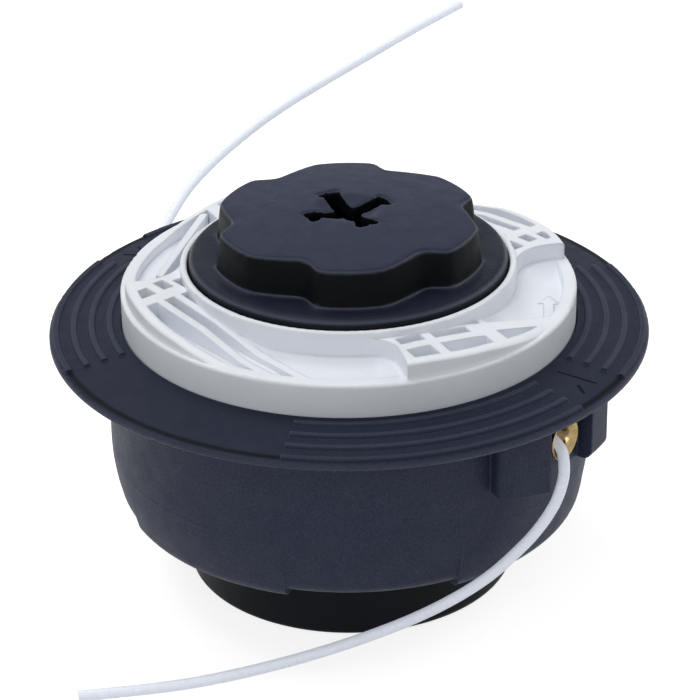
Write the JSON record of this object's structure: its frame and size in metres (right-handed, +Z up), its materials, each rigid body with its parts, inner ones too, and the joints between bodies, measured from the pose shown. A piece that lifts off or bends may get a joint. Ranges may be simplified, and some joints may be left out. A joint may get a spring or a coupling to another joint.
{
  "type": "bump feed trimmer head",
  "caption": "Bump feed line trimmer head: flanged bowl with brass line eyelets, ribbed twist-lock cap, sprung reel with a lobed bump knob, and a collar with a drive thread.",
  "frame": {"origin": "on the spin axis, at the lower rim of the drive collar that the head stands on", "axes": "+Z up along the spin axis towards the bump knob, +X through the front eyelet"},
  "size_m": [0.1411, 0.2022, 0.0846],
  "materials": {
    "housing_plastic": "fine grained moulded nylon",
    "collar_plastic": "smooth moulded nylon",
    "insert_steel": "turned",
    "ring_steel": "phosphated",
    "eyelet_brass": "polished",
    "cap_plastic": "satin moulded nylon",
    "knob_plastic": "fine grained moulded nylon",
    "reel_plastic": "smooth moulded nylon",
    "line_nylon": "translucent nylon monofilament",
    "washer_steel": "plain",
    "spring_steel": "drawn wire"
  },
  "bodies": {
    "head": {"housing": "housing_plastic", "drive_collar": "collar_plastic", "thread_insert": "insert_steel", "retaining_ring": "ring_steel", "eyelet_front": "eyelet_brass", "eyelet_rear": "eyelet_brass", "spring": "spring_steel", "front_line": "line_nylon", "rear_line": "line_nylon"},
    "cap": {"cap": "cap_plastic"},
    "feed_slide": {"thrust_washer": "washer_steel"},
    "reel": {"spool": "reel_plastic", "bump_knob": "knob_plastic", "wound_line": "line_nylon"}
  },
  "joints": [
    {"name": "cap_twist", "type": "hinge", "parent": "head", "child": "cap", "pos_m": [0, 0, 0.06], "axis": [0, 0, 1], "range_deg": [0, 25]},
    {"name": "bump", "type": "slide", "parent": "head", "child": "feed_slide", "axis": [0, 0, -1], "range_m": [0, 0.006], "stiffness_N_per_m": 1500, "springref_m": -0.008, "deforming": ["spring"]},
    {"name": "reel_spin", "type": "hinge", "parent": "feed_slide", "child": "reel", "pos_m": [0, 0, 0.045], "axis": [0, 0, 1], "continuous": true}
  ]
}
